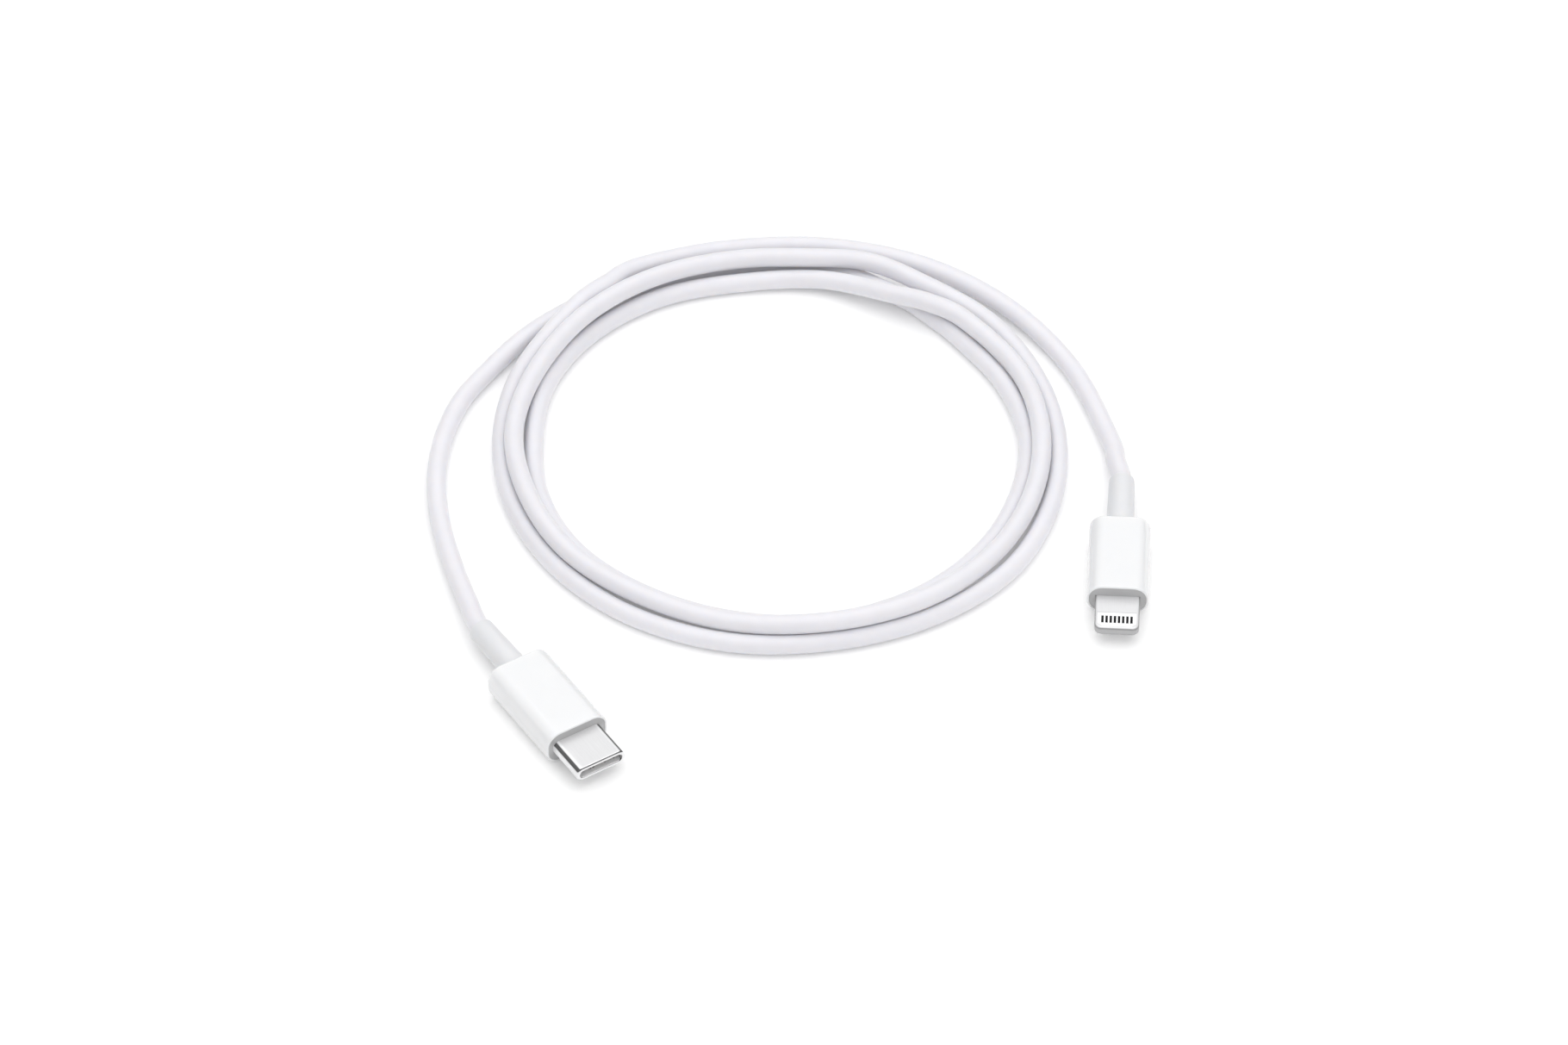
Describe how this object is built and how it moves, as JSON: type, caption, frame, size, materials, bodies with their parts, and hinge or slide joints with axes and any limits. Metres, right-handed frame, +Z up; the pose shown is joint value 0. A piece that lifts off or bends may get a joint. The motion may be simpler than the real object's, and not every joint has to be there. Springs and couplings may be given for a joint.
{
  "type": "charging cable",
  "caption": "Round white charging cable wound in loose turns, with a type-C plug at one end and a slim contact-tab plug at the other.",
  "frame": {"origin": "centre of the footprint on the table, at table height", "axes": "+Z up from the table; +Y away from the viewer, across the wound turns; +X to the right, from the type-C plug's side to the tab plug's side"},
  "size_m": [0.1102, 0.1196, 0.0064],
  "materials": {
    "jacket": "smooth soft satin",
    "casing": "smooth gloss white",
    "front_plate": "fine matt grey",
    "shell_steel": "bright drawn steel",
    "spring_steel": "stamped spring steel",
    "can_steel": "tinned sheet",
    "dark_plastic": "grey moulded",
    "white_plastic": "white moulded",
    "gold": "gold plated",
    "dark_pad": "dark plated",
    "board": "green laminate",
    "chip": "black moulded",
    "mould": "natural moulded",
    "relief": "soft satin",
    "red_wire": "insulation",
    "pale_wire": "insulation"
  },
  "bodies": {
    "cable": {"cord_jacket": "jacket", "type_c_casing": "casing", "type_c_front_plate": "front_plate", "type_c_shell": "shell_steel", "type_c_carrier": "dark_plastic", "type_c_contacts_upper": "gold", "type_c_contacts_lower": "gold", "type_c_mid_plate": "spring_steel", "type_c_ground_spring_upper": "spring_steel", "type_c_ground_spring_lower": "spring_steel", "type_c_board": "board", "type_c_board_chips": "chip", "type_c_can_upper": "can_steel", "type_c_can_lower": "can_steel", "type_c_inner_mould": "mould", "type_c_crimp": "shell_steel", "type_c_power_wires": "red_wire", "type_c_data_wires": "pale_wire", "type_c_strain_relief": "relief", "tab_plug_casing": "casing", "tab_plug_front_plate": "front_plate", "tab_plug_tab_frame": "shell_steel", "tab_plug_contact_insert": "white_plastic", "tab_plug_contacts_upper": "dark_pad", "tab_plug_contacts_lower": "dark_pad", "tab_plug_board": "board", "tab_plug_board_chips": "chip", "tab_plug_can_upper": "can_steel", "tab_plug_can_lower": "can_steel", "tab_plug_inner_mould": "mould", "tab_plug_crimp": "shell_steel", "tab_plug_power_wires": "red_wire", "tab_plug_data_wires": "pale_wire", "tab_plug_strain_relief": "relief"},
    "latch_left": {"type_c_latch_left": "spring_steel"},
    "latch_right": {"type_c_latch_right": "spring_steel"}
  },
  "joints": [
    {"name": "latch_left_flex", "type": "hinge", "parent": "cable", "child": "latch_left", "pos_m": [-0.02837, -0.04898, 0.0029], "axis": [0, 0, 1], "range_deg": [0, 2], "stiffness_Nm_per_rad": 0.02},
    {"name": "latch_right_flex", "type": "hinge", "parent": "cable", "child": "latch_right", "pos_m": [-0.03403, -0.05265, 0.0029], "axis": [0, 0, -1], "range_deg": [0, 2], "stiffness_Nm_per_rad": 0.02}
  ]
}
